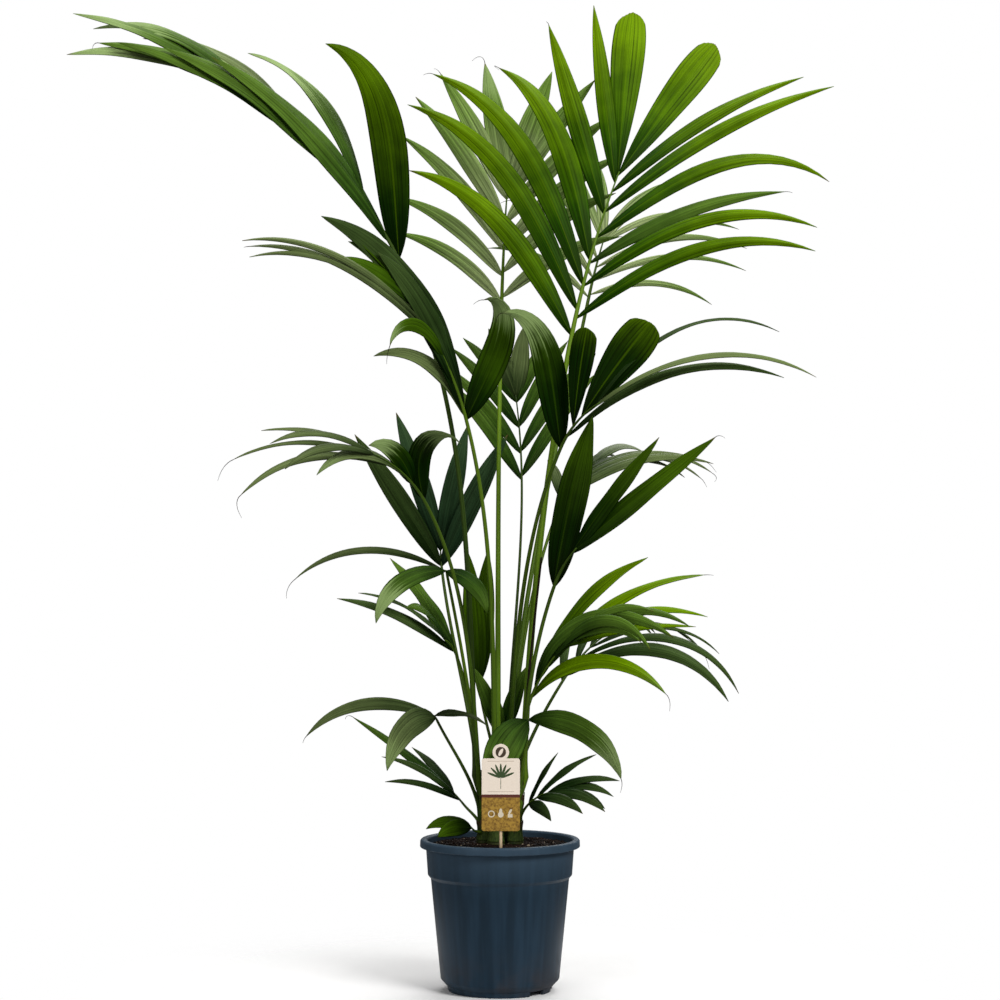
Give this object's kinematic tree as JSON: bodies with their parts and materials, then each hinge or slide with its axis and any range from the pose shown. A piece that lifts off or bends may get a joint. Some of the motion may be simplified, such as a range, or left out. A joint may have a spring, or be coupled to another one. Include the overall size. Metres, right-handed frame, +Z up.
{
  "type": "potted kentia palm",
  "caption": "Clump of young feather-leaved palms with arching fronds, in a round plastic nursery pot of soil with a plant label.",
  "frame": {"origin": "centre of the pot's flat underside", "axes": "+Z up along the pot's axis; -Y is the front, where the label stands; +X is to the right seen from the front"},
  "size_m": [0.9848, 0.8096, 1.3197],
  "materials": {
    "pot_plastic": "satin",
    "soil": "matte",
    "stem": "satin",
    "stalk": "satin",
    "dry_stalk": "matte",
    "leaf_fresh": "satin",
    "leaf_middle": "satin",
    "leaf_deep": "satin",
    "label_card": "matte",
    "label_stick": "matte",
    "sheath": "matte"
  },
  "bodies": {
    "root": {"pot": "pot_plastic", "soil": "soil", "label_card": "label_card", "label_stick": "label_stick", "stem_left": "stem", "stem_middle": "stem", "stem_back": "stem", "stem_right": "stem", "stalk_tall_right": "stalk", "stalk_tall_back": "stalk", "stalk_back_right": "stalk", "stalk_arch_left": "stalk", "stalk_reach_left": "stalk", "stalk_back_low": "stalk", "stalk_front_right": "stalk", "stalk_fan_right": "stalk", "stalk_side_right": "stalk", "stalk_arch_low_left": "stalk", "stalk_dark_left": "stalk", "stalk_hanging_left": "stalk", "stalk_low_left": "stalk", "stalk_upright_pair": "stalk", "stalk_low_right_front": "stalk", "stalk_low_right_back": "stalk", "stalk_bifid_right": "stalk", "stalk_bifid_left": "stalk", "stalk_sprout_left": "stalk", "stalk_sprout_right": "stalk", "stalk_seedling": "stalk", "stalk_inner": "stalk", "dead_stalk": "dry_stalk", "frond_tall_right": "leaf_fresh", "frond_tall_back": "leaf_middle", "frond_back_right": "leaf_middle", "frond_arch_left": "leaf_middle", "frond_reach_left": "leaf_deep", "frond_back_low": "leaf_middle", "frond_front_right": "leaf_deep", "frond_fan_right": "leaf_deep", "frond_side_right": "leaf_middle", "frond_arch_low_left": "leaf_deep", "frond_dark_left": "leaf_deep", "frond_hanging_left": "leaf_middle", "frond_low_left": "leaf_middle", "frond_upright_pair": "leaf_deep", "frond_low_right_front": "leaf_fresh", "frond_low_right_back": "leaf_middle", "frond_bifid_right": "leaf_middle", "frond_bifid_left": "leaf_deep", "frond_sprout_left": "leaf_deep", "frond_sprout_right": "leaf_deep", "frond_seedling": "leaf_deep", "frond_inner": "leaf_middle"}
  },
  "joints": []
}
